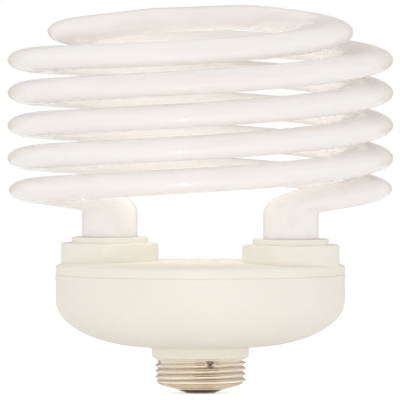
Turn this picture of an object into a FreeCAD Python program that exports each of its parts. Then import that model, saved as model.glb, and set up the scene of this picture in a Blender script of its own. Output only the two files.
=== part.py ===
import FreeCAD, Part
import math
import os

# Spiral energy saving lamp: a long glass tube bent into two strands that
# climb side by side, set in a plastic ballast housing on a screw base.
# Millimetres. Z is the lamp's axis, Z = 0 is the tip of the centre contact,
# and the two legs of the tube lie along X, the right one nearer to -Y.

# Screw base
contact_radius = 4.4
contact_height = 1.0
contact_edge = 0.6
shank_radius = 1.5
shank_top = 8.0
insulator_foot_radius = 5.2
insulator_cone_height = 1.5
insulator_shoulder_radius = 6.6
insulator_shoulder_rise = 0.6
insulator_core_radius = 4.6
insulator_core_drop = 1.0
shell_lip_drop = 0.2
shell_lip_radius = 6.6
shell_cone_bend_radius = 10.7
shell_cone_bend_height = 2.3
shell_cone_height = 4.1
shell_wall = 0.35
thread_root_radius = 12.2
thread_crest_radius = 13.15
thread_pitch = 3.629
thread_turns = 4
band_radius = 12.85
band_height = 1.4
band_flare = 0.6

# Lower housing
neck_radius = 13.9
neck_height = 7.0
neck_edge = 1.2
neck_fillet = 1.6
spigot_length = 10.4
spigot_wall = 1.6
spigot_clearance = 0.12
housing_step = 0.1
seam_edge = 0.35
housing_wall = 2.0
bowl_depth = 30.0
straight_side = 16.4
board_ledges = 6
ledge_thickness = 1.8
ledge_reach = 3.4
ledge_height = 14.0

# Upper cover
cover_wall = 2.0
cover_side = 6.4
cover_edge = 1.6
cover_crown = 1.6
lip_clearance = 0.15
lip_wall = 1.6
lip_depth = 4.6
bead_height = 0.45
bead_radius = 0.6
bead_flat = 0.1
bead_root = 0.5
gate_disc_radius = 5.0
gate_disc_height = 0.35
gate_dimple_radius = 1.3
gate_dimple_depth = 0.6
hold_fingers = 3
finger_width = 7.0
tower_radius = 14.05
tower_margin = 0.05
tower_draft = 0.25
tower_height = 13.2
tower_wall = 2.0
tower_edge = 0.8
holder_radius = 10.9
holder_height = 3.6
holder_edge = 0.5
holder_barrel_wall = 1.25
holder_barrel_length = 6.0
cement_depth = 6.5
fit_clearance = 0.12

# Discharge tube
tube_radius = 7.9
tube_fit = 0.1
leg_circle_radius = 27.2
leg_angle = -18.0
leg_bottom_rise = 2.0
leg_bend_height = 121.5
leg_bend_radius = 9.6
leg_lead = 7.5
leg_lead_slope = 0.35
coil_radius = 47.3
coil_low_end = 129.0
strand_spacing = 20.85
half_turns = 4
top_end_radius = 35.8
top_end_rise = 18.1
top_end_slope = 0.22
bridge_turn = 135.0
bridge_rise = 10.1
arc_step = 22.5
tube_end_rounding = 2.5

# Ballast
board_clearance = 1.0
board_thickness = 1.6
board_depth = 13.5
bulk_radius = 8.0
bulk_length = 24.0
bulk_gap = 2.6
bulk_groove = 0.4
bulk_groove_place = 3.0
bulk_edge = 0.8
choke_width = 22.0
choke_depth = 16.0
choke_core_depth = 8.0
choke_height = 15.0
choke_leg = 5.5
choke_yoke = 3.4
coil_gap = 0.25
filter_radius = 5.6
filter_height = 11.0
filter_flange = 1.2
filter_waist = 4.4
toroid_radius = 3.8
toroid_wire_radius = 1.6
film_width = 12.0
film_depth = 5.5
film_height = 10.0
film_edge = 1.2
transistor_width = 10.2
transistor_depth = 4.5
transistor_height = 9.2
tab_thickness = 1.3
tab_height = 6.2
tab_hole_radius = 1.75
diode_radius = 1.35
diode_length = 5.2
diode_pitch = 4.2
diode_count = 4
lead_radius = 0.4
lead_reach = 1.4
lead_bend = 0.6
fuse_radius = 1.8
fuse_length = 9.0
thermistor_radius = 4.2
thermistor_thickness = 3.0
thermistor_edge = 0.6
pin_side = 1.0
pin_height = 6.0
tube_lead_spread = 3.0
base_lead_radius = 0.6
base_lead_bend = 1.8
neutral_lead_place = 9.0

# Where the components stand: shares of the board's radius, and a turn in degrees
component_places = {
    "choke": (0.0, -0.573, 0.0),
    "filter_inductor": (0.0, 0.443, 0.0),
    "drive_transformer": (-0.443, 0.495, 0.0),
    "transistor_front": (-0.677, -0.182, 90.0),
    "transistor_rear": (-0.677, 0.182, 90.0),
    "rectifier_diodes": (0.64, -0.195, 0.0),
    "fuse_resistor": (-0.495, -0.547, 90.0),
    "thermistor": (0.443, -0.703, 0.0),
    "resonant_capacitor": (0.39, 0.52, 0.0),
    "coupling_capacitor": (0.0, 0.768, 0.0),
    "noise_capacitor": (0.703, 0.208, 90.0),
}

# Share of a quarter ellipse's radius at which its curve handles lie
quarter = 0.5523
# Share of its handles' reach that the crest of a thread's curve has
hump_share = 0.75
# Shares of the cover's radius at which the handles of its crown lie
crown_shares = (0.7, 0.3)
# Shares of the shell's wall by which the corners of its cone move inwards
lip_share = 0.4
bend_shares = (0.7, 0.8)
# Share of an axial component's radius that its ends are rounded by
end_share = 0.25
# How far a shape runs into the one that it joins, or past the one that it cuts
overlap = 1.0

# Heights and radii that follow from the sizes above
shell_bottom = contact_height + insulator_cone_height - shell_lip_drop
cone_bend_z = shell_bottom + shell_cone_bend_height
thread_start = shell_bottom + shell_cone_height
thread_top = thread_start + thread_turns * thread_pitch
shell_top = thread_top + band_height
neck_bottom = shell_top
bowl_bottom = neck_bottom + neck_height
straight_bottom = bowl_bottom + bowl_depth
seam = straight_bottom + straight_side
cover_top = seam + cover_side
tower_top = cover_top + tower_height
holder_top = tower_top + holder_height
board_top = seam - board_depth
board_bottom = board_top - board_thickness
bore_radius = tube_radius + tube_fit
cover_radius = leg_circle_radius + tower_radius + tower_margin
housing_radius = cover_radius + housing_step
barrel_radius = bore_radius + holder_barrel_wall
tower_bore = tower_radius - tower_wall
barrel_bottom = tower_top - holder_barrel_length
cement_bottom = barrel_bottom - cement_depth
tube_bottom = cement_bottom - leg_bottom_rise
inner_radius = housing_radius - housing_wall
lip_radius = inner_radius - lip_clearance
board_radius = inner_radius - board_clearance
spigot_radius = thread_root_radius - shell_wall - spigot_clearance
spigot_bore = spigot_radius - spigot_wall


def point(x, y, z):
    return FreeCAD.Vector(x, y, z)


def turned(shape, degrees):
    """A copy of a shape, turned about the lamp's axis."""
    copy = shape.copy()
    copy.rotate(point(0, 0, 0), point(0, 0, 1), degrees)
    return copy


def moved(shape, x, y, z):
    """A copy of a shape, moved."""
    copy = shape.copy()
    copy.translate(point(x, y, z))
    return copy


def outline_face(outline):
    """A face in the XZ plane; an entry is a corner, or two handles and an end."""
    edges = []
    last = outline[0]
    for entry in outline[1:] + outline[:1]:
        stops = [last, entry] if len(entry) == 2 else [last, *entry]
        points = [point(r, 0, z) for r, z in stops]
        if len(points) == 2:
            edges.append(Part.LineSegment(*points).toShape())
        else:
            curve = Part.BezierCurve()
            curve.setPoles(points)
            edges.append(curve.toShape())
        last = stops[-1]
    return Part.Face(Part.Wire(edges))


def revolved(outline):
    """A solid of revolution about Z from an outline of (radius, height)."""
    return outline_face(outline).revolve(point(0, 0, 0), point(0, 0, 1), 360)


def quarter_round(start, end, upright_first):
    """A quarter of an ellipse as two handles and an end."""
    (r0, z0), (r1, z1) = start, end
    if upright_first:
        return (r0, z0 + (z1 - z0) * quarter), (r1 - (r1 - r0) * quarter, z1), end
    return (r0 + (r1 - r0) * quarter, z0), (r1, z1 - (z1 - z0) * quarter), end


def rod(radius, bottom, top, x=0.0, y=0.0):
    return Part.makeCylinder(radius, top - bottom, point(x, y, bottom))


def block(width, depth, height, x, y, bottom):
    """A box centred on x and y."""
    return Part.makeBox(width, depth, height, point(x - width / 2, y - depth / 2, bottom))


def circle_edges(shape, radius, height):
    """The full circles of a shape at one radius and height."""
    found = []
    for edge in shape.Edges:
        curve = edge.Curve
        if isinstance(curve, Part.Circle) and abs(curve.Radius - radius) < 1e-4:
            if abs(curve.Center.z - height) < 1e-4:
                found.append(edge)
    return found


def rounded_path(corners, reaches):
    """A wire through corners, each rounded by an arc that starts reach away from it."""
    edges = []
    last = corners[0]
    for before, corner, after, reach in zip(corners, corners[1:], corners[2:], reaches):
        inward = (corner - before).normalize()
        outward = (after - corner).normalize()
        half = inward.getAngle(outward) / 2
        start = corner - inward * reach
        end = corner + outward * reach
        side = (outward - inward).normalize()
        middle = corner + side * (reach * math.tan(half / 2))
        if (start - last).Length > 1e-6:
            edges.append(Part.LineSegment(last, start).toShape())
        edges.append(Part.Arc(start, middle, end).toShape())
        last = end
    if (corners[-1] - last).Length > 1e-6:
        edges.append(Part.LineSegment(last, corners[-1]).toShape())
    return Part.Wire(edges)


def swept(wire, radius):
    """A round bar along a wire."""
    first = wire.Edges[0]
    start = first.valueAt(first.FirstParameter)
    direction = first.tangentAt(first.FirstParameter)
    ring = Part.Wire(Part.Circle(start, direction, radius).toShape())
    return wire.makePipeShell([ring], True, False)


def leg_place(side):
    """The centre of the right leg (side 1) or the left one (side -1)."""
    angle = math.radians(leg_angle)
    return side * leg_circle_radius * math.cos(angle), side * leg_circle_radius * math.sin(angle)


# Spine of the discharge tube

def arc_corners(centre_x, centre_y, radius, start, end, travelled):
    """Corners of the polygon round an arc in plan, each with the way travelled to it."""
    count = max(2, round(abs(end - start) / arc_step))
    step = math.radians((end - start) / count)
    reach = radius / math.cos(step / 2)
    corners = []
    for index in range(count):
        share = (index + 0.5) * step
        angle = math.radians(start) + share
        x = centre_x + reach * math.cos(angle)
        y = centre_y + reach * math.sin(angle)
        corners.append((x, y, travelled + radius * abs(share)))
    return corners, travelled + radius * math.radians(abs(end - start))


def eased(t, length, low, high, low_slope, high_slope):
    """Height at share t of a stretch, with a given slope at each end."""
    rise = (high - low) * (3 - 2 * t) * t * t
    start_bend = length * low_slope * t * (1 - t) ** 2
    end_bend = length * high_slope * (t - 1) * t * t
    return low + rise + start_bend + end_bend


def strand_corners():
    """Corners of the right strand, from its leg to the middle of the bridge."""
    leg_x, leg_y = leg_place(1)
    lead_x = leg_x + leg_lead
    # The lead's arc ends where it touches the coil's circle from inside.
    join_radius = (coil_radius ** 2 - lead_x ** 2 - leg_y ** 2) / (2 * (leg_y + coil_radius))
    join_angle = math.degrees(math.atan2(leg_y + join_radius, lead_x))
    slope = strand_spacing / (math.pi * coil_radius)
    plan = []
    knots = [(0.0, leg_bend_height, leg_lead_slope)]
    lead, way = arc_corners(lead_x, leg_y + join_radius, join_radius, -90, join_angle, leg_lead)
    plan += lead
    knots.append((way, coil_low_end + slope * coil_radius * math.radians(join_angle), slope))
    coil, way = arc_corners(0, 0, coil_radius, join_angle, math.degrees(math.pi * half_turns), way)
    plan += coil
    top_turn_low = coil_low_end + strand_spacing * half_turns
    knots.append((way, top_turn_low, slope))
    shrink_radius = (coil_radius + top_end_radius) / 2
    shrink_centre = coil_radius - shrink_radius
    shrink, way = arc_corners(shrink_centre, 0, shrink_radius, 0, 180, way)
    plan += shrink
    knots.append((way, top_turn_low + top_end_rise, top_end_slope))
    # The bridge is an arc and then a straight run that passes the lamp's axis.
    bridge_radius = top_end_radius / (1 - 1 / math.cos(math.radians(bridge_turn)))
    bridge_centre = bridge_radius - top_end_radius
    bridge, way = arc_corners(bridge_centre, 0, bridge_radius, 180, 180 + bridge_turn, way)
    plan += bridge
    way += bridge_radius * abs(math.tan(math.radians(bridge_turn)))
    knots.append((way, top_turn_low + top_end_rise + bridge_rise, 0.0))
    corners = [point(leg_x, leg_y, tube_bottom), point(leg_x, leg_y, leg_bend_height)]
    for x, y, s in plan:
        for (s0, z0, m0), (s1, z1, m1) in zip(knots, knots[1:]):
            if s0 <= s <= s1:
                height = eased((s - s0) / (s1 - s0), s1 - s0, z0, z1, m0, m1)
        corners.append(point(x, y, height))
    return corners


def tube_spine():
    """The whole centreline, from the right leg's end to the left leg's end."""
    right = strand_corners()
    left = [point(-p.x, -p.y, p.z) for p in right]
    corners = right + left[::-1]
    runs = [(b - a).Length for a, b in zip(corners, corners[1:])]
    reaches = []
    last = len(corners) - 2
    for index in range(1, last + 1):
        if index in (1, last):
            inward = corners[index] - corners[index - 1]
            turn = inward.getAngle(corners[index + 1] - corners[index])
            reaches.append(leg_bend_radius * math.tan(turn / 2))
            bend_reach = reaches[-1]
        else:
            reaches.append(min(runs[index - 1], runs[index]) / 2)
    # The corners beside the two leg bends take what the bends leave.
    reaches[1] = min(runs[1] - bend_reach, runs[2] / 2)
    reaches[-2] = reaches[1]
    return rounded_path(corners, reaches)


def discharge_tube():
    spine = tube_spine()
    tube = swept(spine, tube_radius)
    length = spine.Length
    share = tube.Volume / (math.pi * tube_radius ** 2 * length)
    print("discharge tube length", round(length, 1), "volume share", round(share, 6))
    return tube.makeFillet(tube_end_rounding, circle_edges(tube, tube_radius, tube_bottom))


# Screw base

def centre_contact():
    """Brass contact disc with the shank that carries the live lead."""
    disc = rod(contact_radius, 0, contact_height)
    disc = disc.makeFillet(contact_edge, circle_edges(disc, contact_radius, 0))
    return disc.fuse(rod(shank_radius, contact_height, shank_top)).removeSplitter()


def cone_line(offset):
    """Corners of the shell's cone from its lip to the thread, moved inwards by offset."""
    return [
        (shell_lip_radius - offset * lip_share, shell_bottom + offset),
        (shell_cone_bend_radius - offset * bend_shares[0], cone_bend_z + offset * bend_shares[1]),
        (thread_root_radius - offset, thread_start),
    ]


def insulator():
    """Black glass between the contact and the shell, filling the shell's lip."""
    lip, bend, _ = cone_line(shell_wall)
    core_top = shank_top - insulator_core_drop
    return revolved([
        (shank_radius, contact_height),
        (insulator_foot_radius, contact_height),
        (lip[0], shell_bottom),
        lip,
        bend,
        (insulator_shoulder_radius, bend[1] + insulator_shoulder_rise),
        (insulator_core_radius, core_top),
        (shank_radius, core_top),
    ])


def thread_line(offset):
    """Rounded crests with narrow roots that stand for the rolled thread."""
    root = thread_root_radius - offset
    handle = root + (thread_crest_radius - thread_root_radius) / hump_share
    entries = []
    for turn in range(thread_turns):
        low = thread_start + turn * thread_pitch
        high = low + thread_pitch
        entries.append(((handle, low + thread_pitch / 3), (handle, high - thread_pitch / 3), (root, high)))
    band = band_radius - offset
    return entries + [(band, thread_top + band_flare), (band, shell_top)]


def screw_shell():
    """Thin rolled shell: its cone, the thread and a plain band at the top."""
    return revolved(cone_line(0) + thread_line(0)).cut(shell_inside())


def shell_inside():
    """The space inside the shell, open below and above."""
    wall_line = cone_line(shell_wall) + thread_line(shell_wall)
    lip, top = wall_line[0], wall_line[-1]
    below = shell_bottom - overlap
    above = shell_top + overlap
    return revolved([(0, below), (lip[0], below)] + wall_line + [(top[0], above), (0, above)])


# Housing

def bowl_line(inset):
    """Side of the bowl from its foot to its straight side, moved inwards."""
    foot = (neck_radius, bowl_bottom + inset)
    side = (housing_radius - inset, straight_bottom)
    return [foot, quarter_round(foot, side, False)]


def bowl_space(inset, top):
    """Everything within the bowl's side, down to its foot."""
    foot, side = bowl_line(inset)
    return revolved([(0, foot[1]), foot, side, (housing_radius - inset, top), (0, top)])


def lower_housing():
    """Moulded bowl with its neck, the spigot inside the shell and the board's ledges."""
    spigot_bottom = neck_bottom - spigot_length
    body = bowl_space(0, seam).fuse(rod(neck_radius, neck_bottom, bowl_bottom + overlap))
    body = body.removeSplitter()
    body = body.makeFillet(neck_fillet, circle_edges(body, neck_radius, bowl_bottom))
    body = body.makeFillet(neck_edge, circle_edges(body, neck_radius, neck_bottom))
    body = body.makeChamfer(seam_edge, circle_edges(body, housing_radius, seam))
    body = body.fuse(rod(spigot_radius, spigot_bottom, neck_bottom + overlap)).removeSplitter()
    body = body.cut(bowl_space(housing_wall, seam + overlap))
    body = body.cut(rod(spigot_bore, spigot_bottom - overlap, bowl_bottom + housing_wall + overlap))
    within = bowl_space(housing_wall / 2, seam)
    ledge_width = ledge_reach + housing_wall / 2
    ledge_x = inner_radius - ledge_reach + ledge_width / 2
    ledge = block(ledge_width, ledge_thickness, ledge_height, ledge_x, 0, board_bottom - ledge_height)
    for index in range(board_ledges):
        body = body.fuse(turned(ledge, (index + 0.5) * 360 / board_ledges).common(within))
    groove = bead_ring(fit_clearance)
    return body.cut(groove).removeSplitter()


def bead_ring(extra):
    """The ring on the cover's lip that snaps into the housing, or its groove."""
    height = seam - lip_depth / 2
    root = lip_radius - bead_root
    crest = lip_radius + bead_height + extra
    reach = bead_radius + extra
    flat = (bead_flat + extra) / 2
    return revolved([
        (root, height - reach),
        (lip_radius, height - reach),
        (crest, height - flat),
        (crest, height + flat),
        (lip_radius, height + reach),
        (root, height + reach),
    ])


def upper_cover():
    """Moulded cover with its snap lip, two towers for the legs and the gate mark."""
    crown = cover_top + cover_crown
    rim = (cover_radius, cover_top - cover_edge)
    edge = (cover_radius - cover_edge, cover_top)
    body = revolved([
        (0, seam - lip_depth),
        (lip_radius, seam - lip_depth),
        (lip_radius, seam),
        (cover_radius - seam_edge, seam),
        (cover_radius, seam + seam_edge),
        rim,
        quarter_round(rim, edge, True),
        ((edge[0] * crown_shares[0], crown), (edge[0] * crown_shares[1], crown), (0, crown)),
    ])
    body = body.fuse(bead_ring(0))
    for side in (1, -1):
        x, y = leg_place(side)
        foot = seam + overlap
        taper = tower_radius - tower_draft
        tower = Part.makeCone(tower_radius, taper, tower_top - foot, point(x, y, foot))
        tower = tower.makeFillet(tower_edge, circle_edges(tower, taper, tower_top))
        body = body.fuse(tower)
    gate_top = crown + gate_disc_height
    body = body.fuse(rod(gate_disc_radius, cover_top, gate_top))
    body = body.cut(rod(gate_dimple_radius, gate_top - gate_dimple_depth, gate_top + overlap))
    under = cover_top - cover_wall
    body = body.cut(rod(lip_radius - lip_wall, seam - lip_depth - overlap, under))
    under_tower = tower_top - tower_wall
    for side in (1, -1):
        x, y = leg_place(side)
        body = body.cut(rod(tower_bore, under - overlap, under_tower, x, y))
        barrel_room = barrel_radius + fit_clearance
        body = body.cut(rod(barrel_room, under_tower - overlap, tower_top + overlap, x, y))
    finger_bottom = board_top + fit_clearance
    finger_height = seam - lip_depth - finger_bottom + overlap
    ring = rod(lip_radius, finger_bottom, seam).cut(rod(lip_radius - lip_wall, finger_bottom, seam))
    finger = block(lip_radius, finger_width, finger_height, lip_radius / 2, 0, finger_bottom)
    for index in range(hold_fingers):
        body = body.fuse(turned(finger, 90 + index * 360 / hold_fingers).common(ring))
    return body.removeSplitter()


def tube_holder(side):
    """Collar round a leg: a flange on the tower and a barrel inside it."""
    x, y = leg_place(side)
    rim = (holder_radius, holder_top - holder_edge)
    edge = (holder_radius - holder_edge, holder_top)
    holder = revolved([
        (bore_radius, barrel_bottom),
        (barrel_radius, barrel_bottom),
        (barrel_radius, tower_top),
        (holder_radius, tower_top),
        rim,
        quarter_round(rim, edge, True),
        (bore_radius, holder_top),
    ])
    return moved(holder, x, y, 0)


def cement_plug(side):
    """White cement between a leg and its tower, under the collar's barrel."""
    x, y = leg_place(side)
    plug = rod(tower_bore, cement_bottom, barrel_bottom).cut(rod(tube_radius, cement_bottom, barrel_bottom))
    return moved(plug, x, y, 0)


# Ballast, hung from the underside of its board

def circuit_board():
    """Round board on the housing's ledges."""
    return rod(board_radius, board_bottom, board_top)


def hung(shape, x, y, turn=0.0):
    """A component modelled upwards from Z = 0, hung from the board."""
    copy = shape.copy()
    copy.rotate(point(0, 0, 0), point(1, 0, 0), 180)
    return moved(turned(copy, turn), x, y, board_bottom)


def placed(shape, name):
    """A component hung at its place in the list."""
    x, y, turn = component_places[name]
    return hung(shape, x * board_radius, y * board_radius, turn)


def bulk_capacitor(side):
    """Can with its rolled groove, standing on the board."""
    can = revolved([
        (0, 0),
        (bulk_radius, 0),
        (bulk_radius, bulk_groove_place - bulk_groove),
        (bulk_radius - bulk_groove, bulk_groove_place),
        (bulk_radius, bulk_groove_place + bulk_groove),
        (bulk_radius, bulk_length),
        (0, bulk_length),
    ])
    can = can.makeFillet(bulk_edge, circle_edges(can, bulk_radius, bulk_length))
    return hung(can, side * (bulk_radius + bulk_gap / 2), 0)


def choke_window():
    """One winding window's width and the window's height."""
    width = (choke_width - 2 * choke_yoke - choke_leg) / 2
    return width, choke_height - 2 * choke_yoke


def choke_core():
    """Ferrite core with a centre leg and two windows."""
    width, height = choke_window()
    core = block(choke_width, choke_core_depth, choke_height, 0, 0, 0)
    offset = (choke_leg + width) / 2
    for side in (1, -1):
        core = core.cut(block(width, choke_depth, height, side * offset, 0, choke_yoke))
    return placed(core, "choke")


def choke_coil():
    """Winding on its bobbin, round the core's centre leg."""
    width, height = choke_window()
    outer_x = choke_leg + 2 * width - 2 * coil_gap
    coil = block(outer_x, choke_depth, height - 2 * coil_gap, 0, 0, choke_yoke + coil_gap)
    upright = [edge for edge in coil.Edges if abs(edge.tangentAt(edge.FirstParameter).z) > 0.9]
    coil = coil.makeFillet(width - coil_gap * 2, upright)
    leg = block(choke_leg + coil_gap / 2, choke_core_depth + coil_gap / 2, choke_height, 0, 0, 0)
    return placed(coil.cut(leg), "choke")


def filter_inductor():
    """Drum core wound between two flanges."""
    drum = revolved([
        (0, 0),
        (filter_radius, 0),
        (filter_radius, filter_flange),
        (filter_waist, filter_flange),
        (filter_waist, filter_height - filter_flange),
        (filter_radius, filter_height - filter_flange),
        (filter_radius, filter_height),
        (0, filter_height),
    ])
    return placed(drum, "filter_inductor")


def drive_transformer():
    """Small toroid that drives the transistors."""
    ring = Part.makeTorus(toroid_radius, toroid_wire_radius, point(0, 0, toroid_wire_radius))
    return placed(ring, "drive_transformer")


def film_capacitor():
    """Dipped film capacitor, rounded but for its foot."""
    body = block(film_width, film_depth, film_height, 0, 0, 0)
    above_foot = [edge for edge in body.Edges if edge.CenterOfMass.z > film_edge]
    return body.makeFillet(film_edge, above_foot)


def transistor():
    """Power transistor with its drilled metal tab."""
    body = block(transistor_width, transistor_depth, transistor_height, 0, 0, 0)
    tab_y = (transistor_depth - tab_thickness) / 2
    tab = block(transistor_width, tab_thickness, tab_height, 0, tab_y, transistor_height)
    hole = Part.makeCylinder(
        tab_hole_radius,
        transistor_depth,
        point(0, -transistor_depth / 2, transistor_height + tab_height / 2),
        point(0, 1, 0),
    )
    return body.fuse(tab).cut(hole).removeSplitter()


def axial_component(radius, length):
    """Round body lying on the board, with a lead bent down at each end."""
    reach = length / 2 + lead_reach
    body = Part.makeCylinder(radius, length, point(-length / 2, 0, radius), point(1, 0, 0))
    rims = [edge for edge in body.Edges if isinstance(edge.Curve, Part.Circle)]
    body = body.makeFillet(radius * end_share, rims)
    for side in (1, -1):
        corners = [(length / 2, radius), (reach, radius), (reach, 0)]
        lead = rounded_path([point(side * x, 0, z) for x, z in corners], [lead_bend])
        body = body.fuse(swept(lead, lead_radius))
    return body


def rectifier_diodes():
    """Diodes side by side, the first one at the place in the list."""
    diode = axial_component(diode_radius, diode_length)
    row = [moved(diode, 0, index * diode_pitch, 0) for index in range(diode_count)]
    return Part.makeCompound([placed(one, "rectifier_diodes") for one in row])


def thermistor():
    """Flat disc standing on its edge."""
    disc = Part.makeCylinder(
        thermistor_radius,
        thermistor_thickness,
        point(-thermistor_thickness / 2, 0, thermistor_radius),
        point(1, 0, 0),
    )
    return disc.makeFillet(thermistor_edge, disc.Edges[0])


def pin_places(side):
    """Where the two pins of one leg stand."""
    x, y = leg_place(side)
    return [(x, y - tube_lead_spread), (x, y + tube_lead_spread)]


def terminal_pins():
    """Four square pins on the board that take the tube's leads."""
    places = pin_places(1) + pin_places(-1)
    return Part.makeCompound([block(pin_side, pin_side, pin_height, x, y, board_top) for x, y in places])


def tube_leads(side):
    """Two leads from one end of the tube down to their pins."""
    bottom = board_top + pin_height
    return Part.makeCompound([rod(lead_radius, bottom, tube_bottom, x, y) for x, y in pin_places(side)])


def live_lead():
    """Lead from the board's middle to the contact's shank."""
    return rod(base_lead_radius, shank_top, board_bottom)


def neutral_lead():
    """Lead from the board down the neck, turned out to the shell's first root."""
    height = thread_start + thread_pitch
    reach = thread_root_radius - shell_wall - fit_clearance / 2
    corners = [
        point(0, -neutral_lead_place, board_bottom),
        point(0, -neutral_lead_place, height),
        point(0, -reach, height),
    ]
    return swept(rounded_path(corners, [base_lead_bend]), base_lead_radius)


pieces = {
    "centre_contact": centre_contact(),
    "insulator": insulator(),
    "screw_shell": screw_shell(),
    "lower_housing": lower_housing(),
    "upper_cover": upper_cover(),
    "tube_holder_right": tube_holder(1),
    "tube_holder_left": tube_holder(-1),
    "cement_plug_right": cement_plug(1),
    "cement_plug_left": cement_plug(-1),
    "discharge_tube": discharge_tube(),
    "circuit_board": circuit_board(),
    "bulk_capacitor_right": bulk_capacitor(1),
    "bulk_capacitor_left": bulk_capacitor(-1),
    "choke_core": choke_core(),
    "choke_coil": choke_coil(),
    "filter_inductor": filter_inductor(),
    "drive_transformer": drive_transformer(),
    "transistor_front": placed(transistor(), "transistor_front"),
    "transistor_rear": placed(transistor(), "transistor_rear"),
    "rectifier_diodes": rectifier_diodes(),
    "fuse_resistor": placed(axial_component(fuse_radius, fuse_length), "fuse_resistor"),
    "thermistor": placed(thermistor(), "thermistor"),
    "resonant_capacitor": placed(film_capacitor(), "resonant_capacitor"),
    "coupling_capacitor": placed(film_capacitor(), "coupling_capacitor"),
    "noise_capacitor": placed(film_capacitor(), "noise_capacitor"),
    "terminal_pins": terminal_pins(),
    "tube_leads_right": tube_leads(1),
    "tube_leads_left": tube_leads(-1),
    "live_lead": live_lead(),
    "neutral_lead": neutral_lead(),
}

os.makedirs("parts", exist_ok=True)
for name, shape in pieces.items():
    shape.exportStep(f"parts/{name}.step")
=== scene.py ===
"""Spiral energy saving lamp: glass spiral, screw shell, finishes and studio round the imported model."""
import math

import bmesh
import bpy
from bpy.props import FloatProperty, FloatVectorProperty, IntProperty, PointerProperty
from bpy.types import Operator, Panel, PropertyGroup
from mathutils import Matrix, Vector


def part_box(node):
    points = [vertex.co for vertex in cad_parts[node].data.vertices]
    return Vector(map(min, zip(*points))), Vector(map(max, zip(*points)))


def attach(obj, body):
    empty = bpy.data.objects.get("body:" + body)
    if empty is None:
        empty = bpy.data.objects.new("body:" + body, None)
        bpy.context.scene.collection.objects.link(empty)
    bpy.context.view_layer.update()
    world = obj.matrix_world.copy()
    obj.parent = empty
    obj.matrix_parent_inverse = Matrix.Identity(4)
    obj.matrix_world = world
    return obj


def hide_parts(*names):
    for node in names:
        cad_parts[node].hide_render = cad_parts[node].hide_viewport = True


bl_info = {
    "name": "Spiral Lamp",
    "version": (1, 0, 0),
    "blender": (4, 5, 0),
    "location": "3D View > Sidebar > Lamp",
    "description": "Builds the glass spiral and screw shell of a packed lamp, its finishes and its studio",
    "category": "Object",
}

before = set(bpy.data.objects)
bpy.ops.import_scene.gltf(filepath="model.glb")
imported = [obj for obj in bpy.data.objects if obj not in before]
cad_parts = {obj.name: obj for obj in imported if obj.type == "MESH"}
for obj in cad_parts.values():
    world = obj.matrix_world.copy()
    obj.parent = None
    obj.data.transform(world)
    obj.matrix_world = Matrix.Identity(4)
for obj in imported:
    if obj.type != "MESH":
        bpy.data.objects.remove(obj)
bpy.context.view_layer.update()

MM = 0.001
WHITE = (1.0, 1.0, 1.0)

# Shares of the rounding at the tube's ends at which it has a ring
END_SHARES = (0.0, 0.02, 0.08, 0.18, 0.32, 0.5, 0.72, 1.0)

# Roundings of the shell's outline: at its edges, and at the cone, thread start and band outside and inside
EDGE_ROUNDING = 0.12 * MM
CONE_ROUNDING, START_ROUNDING, BAND_ROUNDING = 0.9 * MM, 0.7 * MM, 0.3 * MM
INNER_CONE_ROUNDING, INNER_START_ROUNDING, INNER_BAND_ROUNDING = 0.6 * MM, 0.4 * MM, 0.2 * MM

# Shares of the pitch over which the thread rises at its start and falls at its top
RUN_IN, RUN_OUT = 0.45, 0.35

# The mirrored surroundings, by the share of the way from behind the lamp (0) to in front of it (1)
BACKDROP_END, EDGE_START, EDGE_END, SIDES_START = 0.003, 0.010, 0.10, 0.20
SIDES_END, ROOM_START = 0.90, 0.955
CEILING_START, CEILING_END = 0.15, 0.5

# Light and dark tone, pattern scale, roughness, depth of the grain and metalness of each plain finish
# The solder's tones are darkened: painted shade standing for the shaded floor that the contact mirrors
SOLDER_WITH_PAINTED_SHADE = ((0.27, 0.20, 0.16), (0.18, 0.13, 0.10), 420, 0.30, 0.20 * MM, 1.0)
BLACK_GLASS = ((0.070, 0.032, 0.020), (0.040, 0.017, 0.010), 300, 0.16, 0.05 * MM, 0.0)
BALLAST_FINISHES = {
    "cement": ((0.80, 0.78, 0.74), (0.62, 0.59, 0.54), 500, 0.90, 0.40 * MM, 0.0),
    "board": ((0.42, 0.27, 0.12), (0.33, 0.20, 0.08), 200, 0.50, 0.05 * MM, 0.0),
    "can_sleeve": ((0.030, 0.032, 0.040), (0.018, 0.018, 0.024), 160, 0.28, 0.05 * MM, 0.0),
    "ferrite": ((0.085, 0.082, 0.080), (0.045, 0.043, 0.042), 600, 0.60, 0.05 * MM, 0.0),
    "enamelled_copper": ((0.62, 0.27, 0.12), (0.45, 0.17, 0.07), 900, 0.30, 0.05 * MM, 0.8),
    "black_plastic": ((0.035, 0.035, 0.036), (0.020, 0.020, 0.021), 700, 0.55, 0.05 * MM, 0.0),
    "resistor_ceramic": ((0.52, 0.44, 0.30), (0.42, 0.34, 0.22), 500, 0.60, 0.05 * MM, 0.0),
    "film_resin": ((0.46, 0.10, 0.05), (0.33, 0.06, 0.03), 300, 0.30, 0.05 * MM, 0.0),
    "tinned_wire": ((0.62, 0.61, 0.60), (0.46, 0.45, 0.44), 800, 0.30, 0.05 * MM, 1.0),
}


# Settings

def length(name, description, millimetres):
    """A size in metres with its default given in millimetres."""
    return FloatProperty(
        name=name,
        description=description,
        default=millimetres * MM,
        unit="LENGTH",
        subtype="DISTANCE",
        precision=5,
    )


def location(name, description, x, y, z):
    """A place in metres with its default given in millimetres."""
    return FloatVectorProperty(
        name=name,
        description=description,
        default=(x * MM, y * MM, z * MM),
        size=3,
        unit="LENGTH",
        subtype="TRANSLATION",
    )


def number(name, description, default):
    return FloatProperty(name=name, description=description, default=default, precision=4)


def angle(name, description, degrees):
    return FloatProperty(
        name=name, description=description, default=math.radians(degrees), unit="ROTATION", subtype="ANGLE"
    )


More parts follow.
